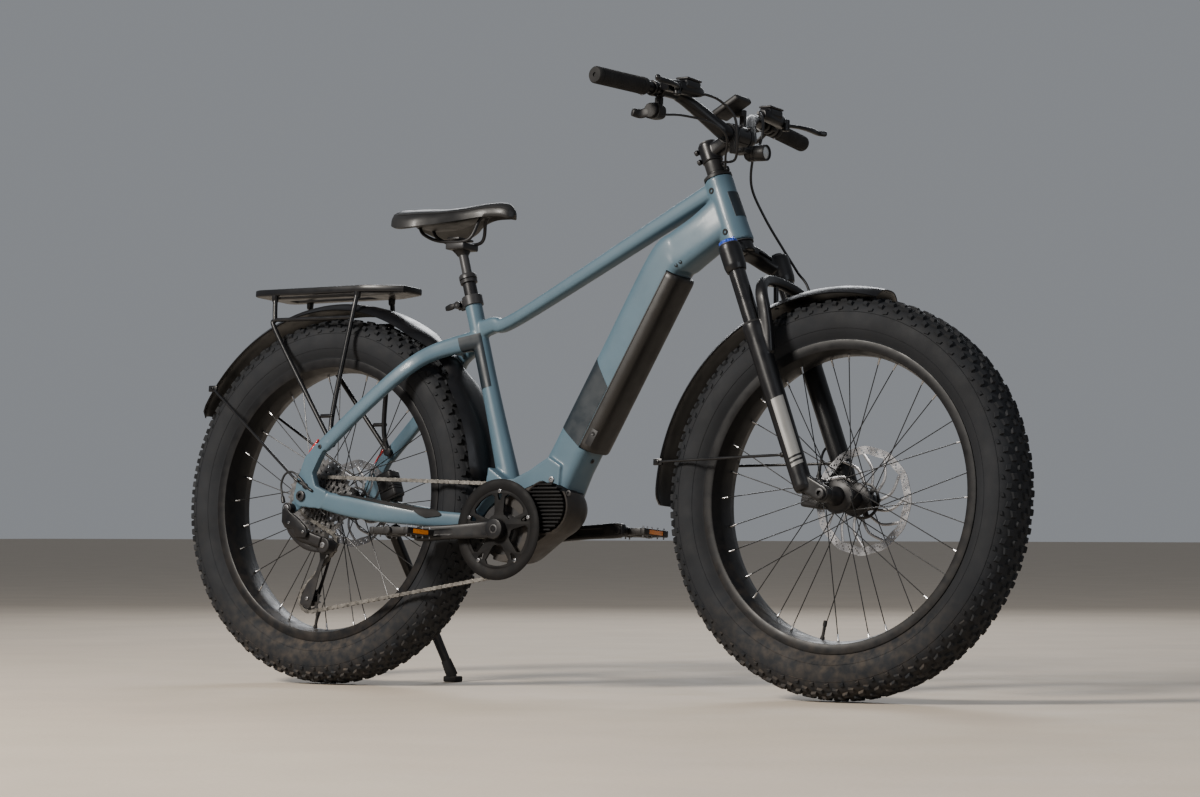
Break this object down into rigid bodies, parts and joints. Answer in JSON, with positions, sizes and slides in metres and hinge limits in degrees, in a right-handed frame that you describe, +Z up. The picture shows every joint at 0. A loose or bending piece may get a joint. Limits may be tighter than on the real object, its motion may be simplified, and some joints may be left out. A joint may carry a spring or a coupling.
{
  "type": "electric bicycle",
  "caption": "Electric bicycle with fat tyres, a mid motor, a battery in the down tube, a suspension fork, fenders and a rear rack, leaning on its kickstand.",
  "frame": {"origin": "on the floor, under the middle of the object's box", "axes": "+X forward along the bicycle, +Y to the rider's left, +Z up from the floor; the bicycle leans 4.5 degrees to its left on the kickstand"},
  "size_m": [1.941, 0.7316, 1.157],
  "materials": {
    "frame_paint": "satin slate blue-grey paint",
    "black_paint": "satin black paint",
    "black_metal": "black anodised, satin",
    "black_plastic": "fine-grained moulded plastic",
    "black_rubber": "matt, lightly textured",
    "tyre_rubber": "matt, dusty",
    "chain_steel": "oiled steel",
    "dark_steel": "dark ground steel",
    "rotor_steel": "ground steel",
    "saddle_cover": "smooth black synthetic leather",
    "blue_dial": "glossy blue"
  },
  "bodies": {
    "frame": {"frame": "frame_paint", "motor_housing": "black_metal", "motor_cover": "black_plastic", "chain": "chain_steel", "derailleur_body": "black_metal", "rear_axle": "black_metal", "rear_brake_caliper": "black_metal", "rear_fender": "black_paint", "rack": "black_paint", "seat_clamp": "black_metal"},
    "crank": {"chainring": "dark_steel", "chainring_guard": "black_metal", "crank_arm_right": "black_metal", "crank_arm_left": "black_metal"},
    "pedal_right": {"pedal_right": "black_plastic"},
    "pedal_left": {"pedal_left": "black_plastic"},
    "rear_wheel": {"rear_tyre": "tyre_rubber", "rear_rim": "black_paint", "rear_hub": "black_metal", "rear_rotor": "rotor_steel"},
    "cassette": {"cassette": "dark_steel"},
    "derailleur_cage": {"derailleur_cage": "black_metal"},
    "guide_pulley": {"guide_pulley": "black_plastic"},
    "tension_pulley": {"tension_pulley": "black_plastic"},
    "battery": {"battery": "black_plastic"},
    "charge_port_cover": {"charge_port_cover": "black_rubber"},
    "kickstand": {"kickstand_leg": "black_metal"},
    "seatpost": {"seatpost": "black_metal"},
    "saddle": {"seatpost_shaft": "black_metal", "saddle": "saddle_cover", "saddle_base": "black_metal"},
    "seat_clamp_lever": {"seat_clamp_lever": "black_metal"},
    "steering": {"fork_crown": "black_paint", "headset_cover": "black_plastic", "stem": "black_paint", "handlebar": "black_paint", "grip_right": "black_rubber", "grip_left": "black_rubber", "brake_master_right": "black_metal", "brake_master_left": "black_metal", "shifter": "black_plastic", "control_remote": "black_plastic", "display": "black_plastic", "headlight": "black_plastic", "front_brake_hose": "black_rubber", "control_cables": "black_rubber"},
    "fork_lowers": {"fork_lowers": "black_paint", "front_axle": "black_metal", "front_brake_caliper": "black_metal", "front_fender": "black_paint"},
    "front_wheel": {"front_tyre": "tyre_rubber", "front_rim": "black_paint", "front_hub": "black_metal", "front_rotor": "rotor_steel"},
    "lockout_dial": {"lockout_dial": "blue_dial"},
    "brake_lever_right": {"brake_lever_right": "black_metal"},
    "brake_lever_left": {"brake_lever_left": "black_metal"},
    "shift_lever": {"shift_lever": "black_plastic"},
    "throttle": {"throttle": "black_plastic"},
    "assist_button": {"assist_button": "black_rubber"}
  },
  "joints": [
    {"name": "crank_spin", "type": "hinge", "parent": "frame", "child": "crank", "pos_m": [-0.1376, -0.06359, 0.30763], "axis": [0, 0.9969, -0.0785], "continuous": true},
    {"name": "pedal_right_spin", "type": "hinge", "parent": "crank", "child": "pedal_right", "pos_m": [-0.30723, -0.06447, 0.2964], "axis": [0, 0.9969, -0.0785], "continuous": true},
    {"name": "pedal_left_spin", "type": "hinge", "parent": "crank", "child": "pedal_left", "pos_m": [0.03203, -0.0627, 0.31887], "axis": [0, 0.9969, -0.0785], "continuous": true},
    {"name": "rear_wheel_spin", "type": "hinge", "parent": "frame", "child": "rear_wheel", "pos_m": [-0.6, -0.0586, 0.37104], "axis": [0, 0.9969, -0.0785], "continuous": true},
    {"name": "cassette_spin", "type": "hinge", "parent": "frame", "child": "cassette", "pos_m": [-0.6, -0.0586, 0.37104], "axis": [0, 0.9969, -0.0785], "continuous": true},
    {"name": "derailleur_cage_swing", "type": "hinge", "parent": "frame", "child": "derailleur_cage", "pos_m": [-0.54, -0.06633, 0.27284], "axis": [0, 0.9969, -0.0785], "range_deg": [-25, 0], "stiffness_Nm_per_rad": 0.5, "springref_deg": 57.3, "deforming": ["chain"]},
    {"name": "guide_pulley_spin", "type": "hinge", "parent": "derailleur_cage", "child": "guide_pulley", "pos_m": [-0.557, -0.06586, 0.27882], "axis": [0, 0.9969, -0.0785], "continuous": true},
    {"name": "tension_pulley_spin", "type": "hinge", "parent": "derailleur_cage", "child": "tension_pulley", "pos_m": [-0.597, -0.07461, 0.16767], "axis": [0, 0.9969, -0.0785], "continuous": true},
    {"name": "battery_release", "type": "hinge", "parent": "frame", "child": "battery", "pos_m": [0.03631, -0.0516, 0.46002], "axis": [0, 0.9969, -0.0785], "range_deg": [0, 12]},
    {"name": "charge_port_flap", "type": "hinge", "parent": "frame", "child": "charge_port_cover", "pos_m": [-0.12744, -0.05515, 0.4149], "axis": [0, -0.9969, 0.0785], "range_deg": [0, 80]},
    {"name": "kickstand_fold", "type": "hinge", "parent": "frame", "child": "kickstand", "pos_m": [-0.534, 0.03981, 0.30862], "axis": [0.13, 0.9348, 0.3307], "range_deg": [0, 100]},
    {"name": "seatpost_height", "type": "slide", "parent": "frame", "child": "seatpost", "axis": [-0.2957, 0.0749, 0.9523], "range_m": [-0.025, 0.1]},
    {"name": "saddle_suspension", "type": "slide", "parent": "seatpost", "child": "saddle", "axis": [-0.2957, 0.0749, 0.9523], "range_m": [-0.038, 0], "stiffness_N_per_m": 12000, "springref_m": 0.02},
    {"name": "seat_clamp_turn", "type": "hinge", "parent": "frame", "child": "seat_clamp_lever", "pos_m": [-0.30736, -0.04108, 0.75928], "axis": [0, 0.9969, -0.0785], "range_deg": [0, 90]},
    {"name": "steering_turn", "type": "hinge", "parent": "frame", "child": "steering", "pos_m": [0.34207, -0.02078, 0.85152], "axis": [-0.3746, 0.0727, 0.9243], "range_deg": [-50, 50]},
    {"name": "fork_travel", "type": "slide", "parent": "steering", "child": "fork_lowers", "axis": [-0.3746, 0.0727, 0.9243], "range_m": [0, 0.08], "stiffness_N_per_m": 8000, "springref_m": -0.03, "deforming": ["front_brake_hose"]},
    {"name": "front_wheel_spin", "type": "hinge", "parent": "fork_lowers", "child": "front_wheel", "pos_m": [0.6, -0.0586, 0.37104], "axis": [0, 0.9969, -0.0785], "continuous": true},
    {"name": "lockout_turn", "type": "hinge", "parent": "steering", "child": "lockout_dial", "pos_m": [0.37574, -0.10782, 0.84173], "axis": [-0.3746, 0.0727, 0.9243], "range_deg": [0, 90]},
    {"name": "brake_lever_right_pull", "type": "hinge", "parent": "steering", "child": "brake_lever_right", "pos_m": [0.31705, -0.19152, 1.12926], "axis": [0, -0.0785, -0.9969], "range_deg": [0, 20], "stiffness_Nm_per_rad": 0.8, "springref_deg": -17.19},
    {"name": "brake_lever_left_pull", "type": "hinge", "parent": "steering", "child": "brake_lever_left", "pos_m": [0.31705, 0.1913, 1.09913], "axis": [0, 0.0785, 0.9969], "range_deg": [0, 20], "stiffness_Nm_per_rad": 0.8, "springref_deg": -17.19},
    {"name": "shift_lever_push", "type": "hinge", "parent": "steering", "child": "shift_lever", "pos_m": [0.27105, -0.20861, 1.09048], "axis": [0, -0.9969, 0.0785], "range_deg": [0, 35], "stiffness_Nm_per_rad": 0.15, "springref_deg": -17.19},
    {"name": "throttle_push", "type": "hinge", "parent": "steering", "child": "throttle", "pos_m": [0.26802, 0.20763, 1.10066], "axis": [0.116, -0.988, 0.1024], "range_deg": [0, 45], "stiffness_Nm_per_rad": 0.15, "springref_deg": -17.19},
    {"name": "assist_button_press", "type": "slide", "parent": "steering", "child": "assist_button", "axis": [1, 0, 0], "range_m": [0, 0.0015], "stiffness_N_per_m": 800, "springref_m": -0.001}
  ],
  "couplings": [
    {"joint": "cassette_spin", "follows": "crank_spin", "ratio": 2.0952},
    {"joint": "guide_pulley_spin", "follows": "crank_spin", "ratio": -4},
    {"joint": "tension_pulley_spin", "follows": "crank_spin", "ratio": 3.3846}
  ]
}
